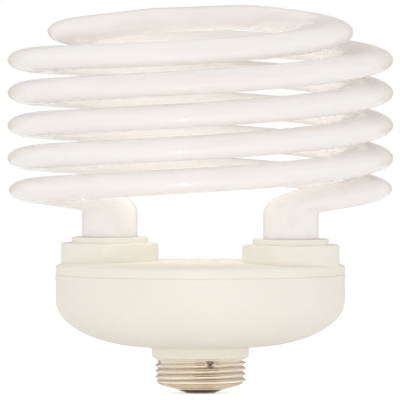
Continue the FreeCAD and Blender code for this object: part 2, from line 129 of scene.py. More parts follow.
def colour(name, description, red, green, blue):
    return FloatVectorProperty(
        name=name,
        description=description,
        default=(red, green, blue),
        size=3,
        min=0.0,
        max=1.0,
        subtype="COLOR",
    )


def count(name, description, default):
    return IntProperty(name=name, description=description, default=default, min=1)


class LampGlassSettings(PropertyGroup):
    """Sizes and colour of the spiral glass tube."""

    tube_radius: length("Tube Radius", "Radius of the glass tube", 7.9)
    end_rounding: length("End Rounding", "Rounding of the tube's two ends", 2.5)
    bottom: length("Bottom", "Height of the tube's ends inside the towers", 80.816)
    leg_circle: length("Leg Circle", "Distance of each leg from the lamp's axis", 27.2)
    leg_angle: angle("Leg Angle", "Turn of the legs about the lamp's axis", -18.0)
    leg_bend_height: length("Leg Bend Height", "Height at which a leg turns into its lead", 121.5)
    leg_bend_radius: length("Leg Bend Radius", "Radius of the bend above a leg", 9.6)
    leg_lead: length("Leg Lead", "Straight run between a leg and its arc", 7.5)
    leg_lead_slope: number("Leg Lead Slope", "Rise of the lead per unit of its length", 0.35)
    coil_radius: length("Coil Radius", "Radius of the coil's centreline", 47.3)
    coil_low_end: length("Coil Low End", "Height at which the coil's rise begins", 129.0)
    strand_spacing: length("Strand Spacing", "Rise of a strand in half a turn", 20.85)
    half_turns: count("Half Turns", "Half turns of each strand at full radius", 4)
    top_end_radius: length("Top End Radius", "Distance from the axis at which the bridge begins", 35.8)
    top_end_rise: length("Top End Rise", "Rise over the last, closing half turn", 18.1)
    top_end_slope: number("Top End Slope", "Rise per unit of length where the bridge begins", 0.22)
    bridge_turn: angle("Bridge Turn", "Turn of the bridge's arc towards the axis", 135.0)
    bridge_rise: length("Bridge Rise", "Rise of the bridge above the closing half turn", 10.1)
    arc_step: angle("Arc Step", "Turn covered by one arc of the path", 22.5)
    ring_spacing: length("Ring Spacing", "Distance between the mesh rings on the arcs", 2.0)
    points_around: count("Points Around", "Points of the mesh round the tube", 88)
    glass: colour("Glass Colour", "Colour of the phosphor seen through the glass", 0.885, 0.852, 0.818)
    thin_glass: colour("Thin Coat Colour", "Colour where the phosphor is thinner", 0.850, 0.802, 0.750)


class LampShellSettings(PropertyGroup):
    """Sizes and colour of the rolled screw shell."""

    lip_radius: length("Lip Radius", "Radius of the shell's lower lip", 6.6)
    lip_height: length("Lip Height", "Height of the lip", 2.3)
    bend_radius: length("Cone Bend Radius", "Radius at the bend of the cone", 10.7)
    bend_height: length("Cone Bend Height", "Height of the bend of the cone", 4.6)
    root_radius: length("Thread Root Radius", "Radius at the thread's root", 12.2)
    crest_radius: length("Thread Crest Radius", "Radius at the thread's crest", 13.15)
    thread_start: length("Thread Start", "Height at which the thread begins", 6.4)
    pitch: length("Pitch", "Rise of the thread in one turn", 3.629)
    thread_top: length("Thread Top", "Height at which the thread ends", 20.916)
    crest_turn: number("Crest Turn", "Share of a turn by which the thread starts later", 0.1)
    band_radius: length("Band Radius", "Radius of the plain band above the thread", 12.85)
    band_flare: length("Band Flare", "Height over which the shell widens to its band", 0.6)
    top: length("Top", "Height of the shell's upper edge", 22.316)
    wall: length("Wall", "Thickness of the metal", 0.35)
    stakes: count("Stakes", "Punch marks that hold the shell on its housing", 4)
    stake_angle: angle("Stake Angle", "Turn of the first punch mark about the axis", -76.5)
    stake_height: length("Stake Height", "Height of the punch marks", 19.15)
    stake_width: length("Stake Width", "Half width of a punch mark", 1.0)
    stake_length: length("Stake Length", "Half height of a punch mark", 1.95)
    stake_depth: length("Stake Depth", "Depth of a punch mark", 1.6)
    stake_sink: length("Stake Sink", "How far a punch mark may go under the thread's root", 0.34)
    mesh_step: length("Mesh Step", "Longest upright step of the mesh on the thread", 0.17)
    segments: count("Segments", "Points of the mesh round the shell", 176)
    # The darker roots and cone are partly dirt and partly painted shade
    dirt_and_shade_reach: length("Dirt Reach", "How far the dirt climbs from the thread's root", 0.3)
    clean_band: length("Clean Band", "Height under the thread's top that stays clean", 2.4)
    metal: colour("Metal Colour", "Colour of the plated shell", 0.90, 0.806, 0.668)
    # The roots' colour is partly tarnish and partly painted shade
    tarnish_and_shade: colour("Tarnish Colour", "Colour of the shell in its thread roots", 0.50, 0.39, 0.28)


class LampPlasticSettings(PropertyGroup):
    """Colour of the moulded housing, cover and collars."""

    plastic: colour("Plastic Colour", "Colour of the moulding", 0.885, 0.853, 0.765)
    flow: colour("Flow Colour", "Colour where the plastic has flowed slower", 0.865, 0.828, 0.735)
    # Painted light: a warmer, brighter glow on the plate round the axis, set by the colour, reach and
    # heights below
    painted_glow: colour("Gate Blush Colour", "Warmer colour of the thinner plate round the gate", 0.93, 0.87, 0.76)
    painted_glow_core: length("Gate Blush Core", "Distance from the gate at which the blush begins to fade", 4.0)
    painted_glow_reach: length("Gate Blush Reach", "How far the blush reaches from the gate", 26.0)
    tower_height: length("Tower Height", "Height of the towers over the plate", 13.2)
    painted_glow_low: length("Blush Low", "Height over the plate up to which the blush is full", 2.5)
    painted_glow_high: length("Blush High", "Height over the plate at which the blush ends", 7.0)


class LampStageSettings(PropertyGroup):
    """Camera, lights and floor."""

    view_width: length("View Width", "Width of the object's plane in the picture", 114.3)
    view_height: length("View Height", "Height of the object's plane in the picture", 254.0)
    view_scale: length("View Scale", "Scale of the camera in an upright view", 300.0)
    view_centre: length("View Centre", "Height at the middle of the picture", 123.0)
    view_side: length("View Side", "Sideways place of the picture's middle", -0.1)
    view_elevation: angle("View Elevation", "Height of the camera above the horizon", 4.6)
    view_distance: length("View Distance", "Distance of the camera", 1600.0)
    sky: number("Sky Level", "Light from all around", 0.93)
    edge: colour("Edge Colour", "Colour of the backdrop's edge in reflections", 0.60, 0.54, 0.46)
    room: colour("Room Colour", "Colour of the room in front in reflections", 0.26, 0.195, 0.13)
    ceiling: number("Ceiling Darkness", "How dark the ceiling is in reflections", 0.4)
    dark_turn: angle("Dark Turn", "Turn of the dark room in front, to the right", 16.0)
    front_place: location("Front Place", "Place of the large softbox", -250, -1500, 60)
    front_aim: location("Front Aim", "Where the large softbox points", 0, 0, 140)
    front_width: length("Front Width", "Width of the large softbox", 1300.0)
    front_height: length("Front Height", "Height of the large softbox", 700.0)
    front: number("Front Level", "Power of the large softbox, in watts", 1.6)
    low_place: location("Low Place", "Place of the low softbox", 20, -360, 20)
    low_aim: location("Low Aim", "Where the low softbox points", 0, 0, 40)
    low_width: length("Low Width", "Width of the low softbox", 900.0)
    low_height: length("Low Height", "Height of the low softbox", 40.0)
    low: number("Low Level", "Power of the low softbox, which lights the housing, in watts", 0.145)
    glint_place: location("Glint Place", "Place of the small lamp for the turns' glints", -30, -240, 45)
    glint_aim: location("Glint Aim", "Where the small lamp points", 0, 0, 170)
    glint_size: length("Glint Size", "Side of the small lamp", 20.0)
    glint_spread: angle("Glint Spread", "Spread of the small lamp, to keep off the shell", 50.0)
    glint: number("Glint Level", "Power of the small lamp, in watts", 0.012)
    plate_height: length("Plate Lamp Height", "Height of the spot that lights the plate", 190.0)
    plate_spread: angle("Plate Lamp Spread", "Spread of the spot on the plate", 34.0)
    plate_softness: length("Plate Lamp Softness", "Radius of the spot's lamp", 10.0)
    plate: number("Plate Level", "Power of the spot on the plate, in watts", 0.12)
    plate_tint: colour("Plate Tint", "Colour of the light that falls on the plate", 1.0, 0.965, 0.93)
    core_low: length("Core Low", "Height of the lowest lamp inside the coil", 142.0)
    core_step: length("Core Step", "Distance between the lamps inside the coil", 34.0)
    cores: count("Cores", "Soft lamps inside the coil", 3)
    core_radius: length("Core Radius", "Radius of each lamp inside the coil", 20.0)
    core: number("Core Level", "Power of each soft lamp inside the coil, in watts", 0.0105)
    core_tint: colour("Core Tint", "Colour of the light inside the coil", 0.95, 0.97, 1.0)
    floor_size: length("Floor Size", "Radius of the floor", 900.0)
    floor_glow: number("Floor Glow", "What the floor needs to be white to the eye", 0.45)
    floor_mirrored: number("Floor Mirrored", "What the floor needs in reflections", 0.1)
    # Painted light: in reflections the floor under the lamp glows more, to fill the lamp's shadow
    painted_under_glow: number("Floor Under Lamp", "What the floor under the lamp needs in reflections", 0.65)
    under_radius: length("Under Radius", "Radius of the floor that is wholly under the lamp", 11.0)
    under_reach: length("Under Reach", "Radius at which the shaded floor ends", 26.0)


# Node helpers

def node(tree, kind, inputs=None, **settings):
    """Adds a node, sets it, and joins or fills its inputs."""
    new = tree.nodes.new(kind)
    for key, value in settings.items():
        setattr(new, key, value)
    for key, value in (inputs or {}).items():
        if isinstance(value, bpy.types.NodeSocket):
            tree.links.new(value, new.inputs[key])
        else:
            new.inputs[key].default_value = value
    return new


def calc(tree, operation, first, second=0.0):
    return node(tree, "ShaderNodeMath", {0: first, 1: second}, operation=operation).outputs[0]


def product(tree, first, *others):
    for other in others:
        first = calc(tree, "MULTIPLY", first, other)
    return first


def eased_step(tree, value, low, high, start=0.0, end=1.0):
    """A smooth step of a value from start to end between low and high."""
    return node(
        tree,
        "ShaderNodeMapRange",
        {"Value": value, "From Min": low, "From Max": high, "To Min": start, "To Max": end},
        interpolation_type="SMOOTHSTEP",
    ).outputs[0]


def stops(tree, value, *entries):
    """A colour ramp through (place, colour) entries."""
    ramp = node(tree, "ShaderNodeValToRGB", {"Fac": value})
    elements = ramp.color_ramp.elements
    while len(elements) < len(entries):
        elements.new(1.0)
    for element, (place, tone) in zip(elements, entries):
        element.position = place
        element.color = (*tone, 1.0)
    return ramp.outputs["Color"]


def grey(level):
    return (level,) * 3


def between(tree, share, first, second, blend="MIX"):
    """Mixes two colours, each a socket or three numbers."""
    values = {"Factor": share}
    for key, value in ((6, first), (7, second)):
        values[key] = value if isinstance(value, bpy.types.NodeSocket) else (*value, 1.0)
    return node(tree, "ShaderNodeMix", values, data_type="RGBA", blend_type=blend).outputs[2]


def noise(tree, place, scale, detail=3.0, roughness=0.5, distortion=0.0):
    inputs = {"Vector": place, "Scale": scale, "Detail": detail}
    inputs.update({"Roughness": roughness, "Distortion": distortion})
    return node(tree, "ShaderNodeTexNoise", inputs).outputs["Fac"]


def stretched(tree, place, x, y, z):
    """A place scaled along each axis, so that a pattern runs along the others."""
    return node(tree, "ShaderNodeMapping", {"Vector": place, "Scale": (x, y, z)}).outputs["Vector"]


def object_place(tree):
    return node(tree, "ShaderNodeTexCoord").outputs["Object"]


def parts_of(tree, place):
    """The X, Y and Z of a place."""
    return node(tree, "ShaderNodeSeparateXYZ", {0: place}).outputs


def from_axis(tree, axes):
    """Distance from the lamp's axis."""
    x_square, y_square = product(tree, axes["X"], axes["X"]), product(tree, axes["Y"], axes["Y"])
    return calc(tree, "SQRT", calc(tree, "ADD", x_square, y_square))


def bumped(tree, height, strength, distance):
    return node(
        tree, "ShaderNodeBump", {"Height": height, "Strength": strength, "Distance": distance}
    ).outputs["Normal"]


def finish(name, build, **sockets):
    """A material: build gives the shader's patterns, and the sockets hold what is the same all over."""
    material = bpy.data.materials.new(name)
    material.use_nodes = True
    tree = material.node_tree
    shader = tree.nodes["Principled BSDF"]
    for key, value in sockets.items():
        shader.inputs[key.replace("_", " ")].default_value = value
    for key, value in build(tree).items():
        socket = shader.inputs[key.replace("_", " ")]
        if isinstance(value, bpy.types.NodeSocket):
            tree.links.new(value, socket)
        else:
            socket.default_value = value
    return material


# Geometry node helpers

def new_tree(name, inputs):
    """A geometry tree with named inputs, and its group nodes."""
    tree = bpy.data.node_groups.new(name, "GeometryNodeTree")
    tree.interface.new_socket("Geometry", in_out="INPUT", socket_type="NodeSocketGeometry")
    for label, kind in inputs:
        tree.interface.new_socket(label, in_out="INPUT", socket_type=f"NodeSocket{kind}")
    tree.interface.new_socket("Geometry", in_out="OUTPUT", socket_type="NodeSocketGeometry")
    return tree, tree.nodes.new("NodeGroupInput"), tree.nodes.new("NodeGroupOutput")


def close_tree(tree, entry, end, geometry):
    """Ends a tree with realized instances and the material."""
    smooth = node(tree, "GeometryNodeSetShadeSmooth", {"Geometry": geometry})
    real = node(tree, "GeometryNodeRealizeInstances", {"Geometry": smooth.outputs[0]})
    inputs = {"Geometry": real.outputs[0], "Material": entry.outputs["Material"]}
    tree.links.new(node(tree, "GeometryNodeSetMaterial", inputs).outputs[0], end.inputs[0])


def settled(name, data, tree, values):
    """Runs a node tree on a mesh or curve and keeps its result as a plain mesh piece."""
    host = bpy.data.objects.new(name + "_path", data)
    bpy.context.scene.collection.objects.link(host)
    modifier = host.modifiers.new(tree.name, "NODES")
    modifier.node_group = tree
    for item in tree.interface.items_tree:
        if item.in_out == "INPUT" and item.name in values:
            modifier[item.identifier] = values[item.name]
    graph = bpy.context.evaluated_depsgraph_get()
    mesh = bpy.data.meshes.new_from_object(
        host.evaluated_get(graph), preserve_all_data_layers=True, depsgraph=graph
    )
    host.modifiers.remove(modifier)
    bpy.data.objects.remove(host)
    mesh.name = name
    piece = bpy.data.objects.new(name, mesh)
    bpy.context.scene.collection.objects.link(piece)
    return piece


# The glass spiral

def arc_corners(centre, radius, start, end, travelled, step):
    """Corners of the polygon round an arc in plan, each with the way travelled to it."""
    parts = max(2, round(abs(end - start) / step))
    turn = (end - start) / parts
    reach = radius / math.cos(turn / 2)
    corners = []
    for index in range(parts):
        share = (index + 0.5) * turn
        x = centre[0] + reach * math.cos(start + share)
        y = centre[1] + reach * math.sin(start + share)
        corners.append((x, y, travelled + radius * abs(share)))
    return corners, travelled + radius * abs(end - start)


def eased_height(t, run, low, high, low_slope, high_slope):
    """Height at share t of a stretch, with a given slope at each end."""
    rise = (high - low) * (3 - 2 * t) * t * t
    return low + rise + run * low_slope * t * (1 - t) ** 2 + run * high_slope * (t - 1) * t * t


def strand_corners(size):
    """Corners of the right strand, from its leg to the middle of the bridge."""
    leg_x = size.leg_circle * math.cos(size.leg_angle)
    leg_y = size.leg_circle * math.sin(size.leg_angle)
    lead_x = leg_x + size.leg_lead
    coil = size.coil_radius
    join_radius = (coil ** 2 - lead_x ** 2 - leg_y ** 2) / (2 * (leg_y + coil))
    join_angle = math.atan2(leg_y + join_radius, lead_x)
    slope = size.strand_spacing / (math.pi * coil)
    knots = [(0.0, size.leg_bend_height, size.leg_lead_slope)]
    plan, way = arc_corners(
        (lead_x, leg_y + join_radius), join_radius, -math.pi / 2, join_angle, size.leg_lead, size.arc_step
    )
    knots.append((way, size.coil_low_end + slope * coil * join_angle, slope))
    turns, way = arc_corners((0, 0), coil, join_angle, math.pi * size.half_turns, way, size.arc_step)
    top_low = size.coil_low_end + size.strand_spacing * size.half_turns
    knots.append((way, top_low, slope))
    shrink_radius = (coil + size.top_end_radius) / 2
    closing, way = arc_corners((coil - shrink_radius, 0), shrink_radius, 0, math.pi, way, size.arc_step)
    knots.append((way, top_low + size.top_end_rise, size.top_end_slope))
    bridge_radius = size.top_end_radius / (1 - 1 / math.cos(size.bridge_turn))
    bridge_centre = bridge_radius - size.top_end_radius
    bridge, way = arc_corners(
        (bridge_centre, 0), bridge_radius, math.pi, math.pi + size.bridge_turn, way, size.arc_step
    )
    way += bridge_radius * abs(math.tan(size.bridge_turn))
    knots.append((way, top_low + size.top_end_rise + size.bridge_rise, 0.0))
    corners = [Vector((leg_x, leg_y, size.bottom)), Vector((leg_x, leg_y, size.leg_bend_height))]
    for x, y, s in plan + turns + closing + bridge:
        for (s0, z0, m0), (s1, z1, m1) in zip(knots, knots[1:]):
            if s0 <= s <= s1:
                height = eased_height((s - s0) / (s1 - s0), s1 - s0, z0, z1, m0, m1)
        corners.append(Vector((x, y, height)))
    return corners


def rounded(before, corner, after, reach, spacing):
    """Points of the arc that rounds a corner and starts reach away from it."""
    inward = (corner - before).normalized()
    outward = (after - corner).normalized()
    turn = inward.angle(outward)
    radius = reach / math.tan(turn / 2)
    side = (outward - inward * inward.dot(outward)).normalized()
    start = corner - inward * reach
    parts = max(2, round(radius * turn / spacing))
    points = []
    for index in range(parts + 1):
        swing = turn * index / parts
        points.append(start + inward * radius * math.sin(swing) + side * radius * (1 - math.cos(swing)))
    return points


def tube_points(size):
    """Points of the whole centreline, from the right leg's end to the left leg's end."""
    right = strand_corners(size)
    left = [Vector((-p.x, -p.y, p.z)) for p in right]
    corners = right + left[::-1]
    runs = [(b - a).length for a, b in zip(corners, corners[1:])]
    last = len(corners) - 2
    reaches = []
    for index in range(1, last + 1):
        if index in (1, last):
            turn = (corners[index] - corners[index - 1]).angle(corners[index + 1] - corners[index])
            bend_reach = size.leg_bend_radius * math.tan(turn / 2)
            reaches.append(bend_reach)
        else:
            reaches.append(min(runs[index - 1], runs[index]) / 2)
    reaches[1] = reaches[-2] = min(runs[1] - bend_reach, runs[2] / 2)
    points = []
    for before, corner, after, reach in zip(corners, corners[1:], corners[2:], reaches):
        points += rounded(before, corner, after, reach, size.ring_spacing)
    kept = [points[0]]
    for point in points[1:]:
        if (point - kept[-1]).length > size.ring_spacing / 2:
            kept.append(point)
    return close_ends(corners[0], kept, corners[-1], size.end_rounding)


def close_ends(first, points, last, rounding):
    """Adds the straight ends, with points close together where the glass is rounded off."""
    ends = []
    for end, near in ((first, points[0]), (last, points[-1])):
        along = (near - end).normalized()
        ends.append([end + along * rounding * share for share in END_SHARES])
    return ends[0] + points + ends[1][::-1]


def tube_tree():
    """Sweeps a round glass wall along its path and rounds off both ends."""
    inputs = [("Tube Radius", "Float"), ("End Rounding", "Float")]
    inputs += [("Points Around", "Int"), ("Material", "Material")]
    tree, entry, end = new_tree("Glass tube along its path", inputs)
    along = node(tree, "GeometryNodeSplineParameter").outputs["Length"]
    whole = node(tree, "GeometryNodeSplineLength").outputs["Length"]
    radius, rounding = entry.outputs["Tube Radius"], entry.outputs["End Rounding"]
    near_end = calc(tree, "MINIMUM", along, calc(tree, "SUBTRACT", whole, along))
    share = node(tree, "ShaderNodeClamp", {"Value": calc(tree, "DIVIDE", near_end, rounding)}).outputs[0]
    left = calc(tree, "SUBTRACT", 1.0, share)
    height = calc(tree, "SQRT", calc(tree, "SUBTRACT", 1.0, product(tree, left, left)))
    inset = product(tree, rounding, calc(tree, "SUBTRACT", 1.0, height))
    scale = calc(tree, "DIVIDE", calc(tree, "SUBTRACT", radius, inset), radius)
    path = node(
        tree,
        "GeometryNodeStoreNamedAttribute",
        {"Geometry": entry.outputs["Geometry"], "Name": "along", "Value": along},
        data_type="FLOAT",
        domain="POINT",
    ).outputs[0]
    circle = node(
        tree,
        "GeometryNodeCurvePrimitiveCircle",
        {"Resolution": entry.outputs["Points Around"], "Radius": radius},
    ).outputs["Curve"]
    place = node(tree, "GeometryNodeInputPosition").outputs[0]
    ring = node(
        tree,
        "GeometryNodeStoreNamedAttribute",
        {"Geometry": circle, "Name": "ring", "Value": place},
        data_type="FLOAT_VECTOR",
        domain="POINT",
    ).outputs[0]
    inputs = {"Curve": path, "Profile Curve": ring, "Scale": scale, "Fill Caps": True}
    close_tree(tree, entry, end, node(tree, "GeometryNodeCurveToMesh", inputs).outputs[0])
    return tree


def glass_place(tree):
    """A place on the tube as if it were straight: round it in X and Y, along it in Z."""
    ring = node(tree, "ShaderNodeAttribute", attribute_name="ring").outputs["Vector"]
    along = node(tree, "ShaderNodeAttribute", attribute_name="along").outputs["Fac"]
    upright = node(tree, "ShaderNodeCombineXYZ", {"Z": along}).outputs[0]
    return node(tree, "ShaderNodeVectorMath", {0: ring, 1: upright}, operation="ADD").outputs[0]


def glass_finish(size):
    """Clear glass over a phosphor coat that is a little uneven along the tube."""

    def build(tree):
        place = glass_place(tree)
        drift = noise(tree, stretched(tree, place, 60, 60, 9), 1.0, 2.0)
        cloud = noise(tree, stretched(tree, place, 1, 1, 0.35), 240, 4.0, 0.6)
        grain = noise(tree, place, 2600, 2.0)
        share = calc(tree, "ADD", product(tree, drift, 0.65), product(tree, cloud, 0.35))
        coat = stops(tree, share, (0.30, size.thin_glass), (0.52, size.glass), (0.8, size.glass))
        ripple = noise(tree, stretched(tree, place, 1, 1, 0.12), 420, 1.0)
        height = calc(tree, "ADD", product(tree, ripple, 0.8), product(tree, grain, 0.06))
        return {
            "Base_Color": coat,
            "Roughness": stops(tree, grain, (0.3, grey(0.42)), (0.7, grey(0.50))),
            "Normal": bumped(tree, height, 0.12, 0.3 * MM),
            "Coat_Normal": bumped(tree, ripple, 0.02, 0.3 * MM),
        }

    return finish(
        "coated_glass",
        build,
        Coat_Weight=1.0,
        Coat_Roughness=0.05,
        Coat_IOR=1.45,
        Specular_IOR_Level=0.25,
        IOR=1.45,
        Subsurface_Weight=0.7,
        Subsurface_Radius=(1.0, 1.0, 1.0),
        Subsurface_Scale=0.008,
    )


class LAMP_OT_glass_spiral(Operator):
    """Builds the double spiral of glass tube with the bridge at its top"""

    bl_idname = "lamp.glass_spiral"
    bl_label = "Glass Spiral"
    bl_options = {"REGISTER", "UNDO"}

    def execute(self, context):
        size = context.scene.lamp_glass
        points = tube_points(size)
        path = bpy.data.curves.new("glass_path", "CURVE")
        path.dimensions = "3D"
        spline = path.splines.new("POLY")
        spline.points.add(len(points) - 1)
        spline.points.foreach_set("co", [value for p in points for value in (*p, 1.0)])
        piece = settled("glass_spiral", path, tube_tree(), {
            "Tube Radius": size.tube_radius,
            "End Rounding": size.end_rounding,
            "Points Around": size.points_around,
            "Material": glass_finish(size),
        })
        if not piece.data.polygons:
            raise RuntimeError("The glass spiral has no faces")
        outwards(piece)
        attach(piece, "root")
        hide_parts("discharge_tube")
        return {"FINISHED"}


def outwards(piece):
    """Turns every face of a closed piece outwards."""
    shape = bmesh.new()
    shape.from_mesh(piece.data)
    bmesh.ops.remove_doubles(shape, verts=shape.verts, dist=0.001 * MM)
    bmesh.ops.recalc_face_normals(shape, faces=shape.faces)
    shape.to_mesh(piece.data)
    shape.free()


# The screw shell

def rounded_outline(corners):
    """Points of an outline in radius and height; a corner is (radius, height, rounding)."""
    points = []
    total = len(corners)
    for index, (r, z, rounding) in enumerate(corners):
        corner = Vector((r, z, 0))
        if rounding == 0:
            points.append((r, z))
            continue
        before = Vector((*corners[index - 1][:2], 0))
        after = Vector((*corners[(index + 1) % total][:2], 0))
        turn = (corner - before).angle(after - corner)
        reach = rounding * math.tan(turn / 2)
        arc = rounded(before, corner, after, reach, rounding * turn / 4)
        points += [(p.x, p.y) for p in arc]
    return points


def divided(points, spacing, low, high):
    """Divides an outline's long upright runs between two heights into short ones."""
    line = []
    for (r0, z0), (r1, z1) in zip(points, points[1:] + points[:1]):
        line.append((r0, z0))
        run = math.hypot(r1 - r0, z1 - z0)
        if run > spacing and min(z0, z1) >= low and max(z0, z1) <= high:
            parts = math.ceil(run / spacing)
            line += [(r0 + (r1 - r0) * i / parts, z0 + (z1 - z0) * i / parts) for i in range(1, parts)]
    return line


def turned_mesh(name, outline, around):
    """A closed mesh from an outline turned about Z."""
    total = len(outline)
    points = []
    for index in range(around):
        turn = 2 * math.pi * index / around
        points += [(r * math.cos(turn), r * math.sin(turn), z) for r, z in outline]
    faces = []
    for index in range(around):
        here, there = index * total, (index + 1) % around * total
        for k in range(total):
            after = (k + 1) % total
            faces.append((here + k, there + k, there + after, here + after))
    mesh = bpy.data.meshes.new(name)
    mesh.from_pydata(points, [], faces)
    mesh.validate()
    return mesh


def shell_blank(size):
    """The shell before its thread is rolled: a cone, a plain sleeve and a band."""
    outer = [
        (size.lip_radius, size.lip_height, EDGE_ROUNDING),
        (size.bend_radius, size.bend_height, CONE_ROUNDING),
        (size.root_radius, size.thread_start, START_ROUNDING),
        (size.root_radius, size.thread_top, BAND_ROUNDING),
        (size.band_radius, size.thread_top + size.band_flare, BAND_ROUNDING),
        (size.band_radius, size.top, EDGE_ROUNDING),
    ]
    wall = size.wall
    inner = [
        (size.band_radius - wall, size.top, EDGE_ROUNDING),
        (size.band_radius - wall, size.thread_top + size.band_flare, INNER_BAND_ROUNDING),
        (size.root_radius - wall, size.thread_top, INNER_BAND_ROUNDING),
        (size.root_radius - wall, size.thread_start, INNER_START_ROUNDING),
        (size.bend_radius - 0.7 * wall, size.bend_height + 0.8 * wall, INNER_CONE_ROUNDING),
        (size.lip_radius - 0.4 * wall, size.lip_height + wall, EDGE_ROUNDING),
    ]
    outline = divided(rounded_outline(outer + inner), size.mesh_step, size.bend_height, size.top)
    return turned_mesh("shell_blank", outline, size.segments)


def thread_tree(labels):
    """Rolls a screw thread into a plain sleeve and punches its stake marks, with a number for each label."""
    inputs = [(label, "Float") for label in labels]
    tree, entry, end = new_tree("Rolled screw thread", inputs + [("Material", "Material")])
    value = entry.outputs
    axes = parts_of(tree, node(tree, "GeometryNodeInputPosition").outputs[0])
    height = axes["Z"]
    turn = calc(tree, "DIVIDE", calc(tree, "ARCTAN2", axes["Y"], axes["X"]), 2 * math.pi)

    risen = calc(tree, "DIVIDE", calc(tree, "SUBTRACT", height, value["Thread Start"]), value["Pitch"])
    phase = calc(tree, "SUBTRACT", calc(tree, "SUBTRACT", risen, turn), value["Crest Turn"])
    wave = calc(tree, "SINE", product(tree, calc(tree, "FRACT", phase), math.pi))
    run_in = calc(tree, "ADD", value["Thread Start"], product(tree, value["Pitch"], RUN_IN))
    run_out = calc(tree, "SUBTRACT", value["Thread Top"], product(tree, value["Pitch"], RUN_OUT))
    rising = eased_step(tree, height, value["Thread Start"], run_in)
    falling = eased_step(tree, height, run_out, value["Thread Top"], 1.0, 0.0)
    ridge = product(tree, wave, wave, value["Depth"], rising, falling)

    first = calc(tree, "DIVIDE", value["Stake Angle"], 2 * math.pi)
    spoke = product(tree, calc(tree, "SUBTRACT", turn, first), value["Stakes"])
    aside = calc(tree, "SUBTRACT", calc(tree, "FRACT", calc(tree, "ADD", spoke, 0.5)), 0.5)
    swing = calc(tree, "DIVIDE", product(tree, aside, 2 * math.pi), value["Stakes"])
    across = calc(tree, "DIVIDE", product(tree, swing, from_axis(tree, axes)), value["Stake Width"])
    above = calc(tree, "SUBTRACT", height, value["Stake Height"])
    upward = calc(tree, "DIVIDE", above, value["Stake Length"])
    square = calc(tree, "ADD", product(tree, across, across), product(tree, upward, upward))
    dent = product(tree, value["Stake Depth"], calc(tree, "EXPONENT", product(tree, square, -1.0)))

    lowest = product(tree, value["Stake Sink"], -1.0)
    moved = calc(tree, "MAXIMUM", calc(tree, "SUBTRACT", ridge, dent), lowest)
    outward = node(tree, "ShaderNodeCombineXYZ", {"X": axes["X"], "Y": axes["Y"]}).outputs[0]
    unit = node(tree, "ShaderNodeVectorMath", {0: outward}, operation="NORMALIZE").outputs[0]
    offset = node(tree, "ShaderNodeVectorMath", {0: unit, "Scale": moved}, operation="SCALE").outputs[0]
    rolled = node(tree, "GeometryNodeSetPosition", {"Geometry": value["Geometry"], "Offset": offset})
    close_tree(tree, entry, end, rolled.outputs[0])
    return tree


def metal_finish(size):
    """Plated brass, brushed round the shell by the rolls, with dirt and painted shade in the roots and on
    the cone, and painted shade in the punch marks.
    """

    def build(tree):
        place = object_place(tree)
        axes = parts_of(tree, place)
        radius = from_axis(tree, axes)
        brushed = noise(tree, stretched(tree, place, 60, 60, 2600), 1.0, 3.0, 0.6)
        blotch = noise(tree, place, 260, 3.0)
        specks = noise(tree, place, 1400, 2.0)
        bare = stops(tree, blotch, (0.35, [c * 0.93 for c in size.metal]), (0.65, size.metal))

        # Dirt and painted shade in the thread's roots and on the cone, with little of it near the top
        root_top, clean = size.root_radius + size.dirt_and_shade_reach, size.thread_top - size.clean_band
        root = eased_step(tree, radius, size.root_radius + 0.02 * MM, root_top, 1.0, 0.0)
        handled = eased_step(tree, axes["Z"], clean, clean + 0.9 * MM, 1.0, 0.15)
        dirt_and_shade = product(tree, root, handled, eased_step(tree, blotch, 0.25, 0.6, 0.7, 1.0))

        # Painted shade in the punch marks, which lie deeper than the roots
        sunk, flush = size.root_radius - size.stake_sink, size.root_radius - 0.1 * MM
        above_cone = eased_step(tree, axes["Z"], size.thread_start, size.thread_start + 0.5 * MM)
        stake = product(tree, eased_step(tree, radius, sunk, flush, 0.85, 0.0), above_cone)
        shade = [c * 0.45 for c in size.tarnish_and_shade]

        rough = calc(tree, "ADD", product(tree, brushed, 0.14), product(tree, dirt_and_shade, 0.16))
        height = calc(tree, "ADD", brushed, product(tree, specks, 0.3))
        return {
            "Base_Color": between(tree, stake, between(tree, dirt_and_shade, bare, size.tarnish_and_shade), shade),
            "Roughness": calc(tree, "ADD", rough, 0.08),
            "Normal": bumped(tree, height, 0.10, 0.08 * MM),
        }

    return finish("plated_shell", build, Metallic=1.0)


class LAMP_OT_screw_shell(Operator):
    """Builds the thin rolled screw shell with its stake marks"""

    bl_idname = "lamp.screw_shell"
    bl_label = "Screw Shell"
    bl_options = {"REGISTER", "UNDO"}

    def execute(self, context):
        size = context.scene.lamp_shell
        values = {
            "Thread Start": size.thread_start,
            "Thread Top": size.thread_top,
            "Pitch": size.pitch,
            "Depth": size.crest_radius - size.root_radius,
            "Crest Turn": size.crest_turn,
            "Stake Angle": size.stake_angle,
            "Stake Height": size.stake_height,
            "Stake Width": size.stake_width,
            "Stake Length": size.stake_length,
            "Stake Depth": size.stake_depth,
            "Stake Sink": size.stake_sink,
            "Stakes": float(size.stakes),
        }
        tree = thread_tree(values)
        values["Material"] = metal_finish(size)
        piece = settled("rolled_shell", shell_blank(size), tree, values)
        if not piece.data.polygons:
            raise RuntimeError("The screw shell has no faces")
        outwards(piece)
        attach(piece, "root")
        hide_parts("screw_shell")
        return {"FINISHED"}


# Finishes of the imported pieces

def dress(nodes, material):
    """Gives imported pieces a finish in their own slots."""
    for name in nodes:
        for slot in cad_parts[name].material_slots:
            slot.material = material


